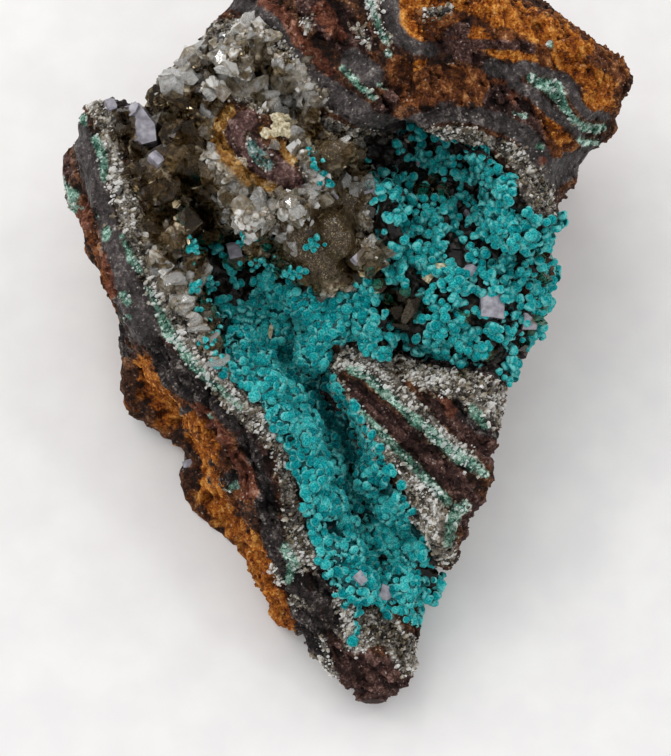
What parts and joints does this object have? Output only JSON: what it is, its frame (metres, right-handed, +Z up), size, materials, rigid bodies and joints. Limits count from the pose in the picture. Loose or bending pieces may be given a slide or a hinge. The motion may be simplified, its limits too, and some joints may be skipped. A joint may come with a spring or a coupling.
{
  "type": "chrysocolla specimen",
  "caption": "Wedge of banded ironstone, broken open on a hollow lined with smoky quartz crystals and a coat of rounded teal chrysocolla lumps; it lies on its flat underside.",
  "frame": {"origin": "middle of the specimen's box, on the plane of its flat underside", "axes": "+Z up from the underside, +Y along the specimen from its narrow toe to its broad top block, +X towards the banded ledge"},
  "size_m": [0.0944, 0.1302, 0.0557],
  "materials": {
    "ironstone": "rough broken",
    "smoky_quartz": "glossy crystal faces",
    "chrysocolla": "dull, fine grained"
  },
  "bodies": {
    "root": {"host_rock": "ironstone", "quartz_lining": "smoky_quartz", "chrysocolla_crust": "chrysocolla"}
  },
  "joints": []
}
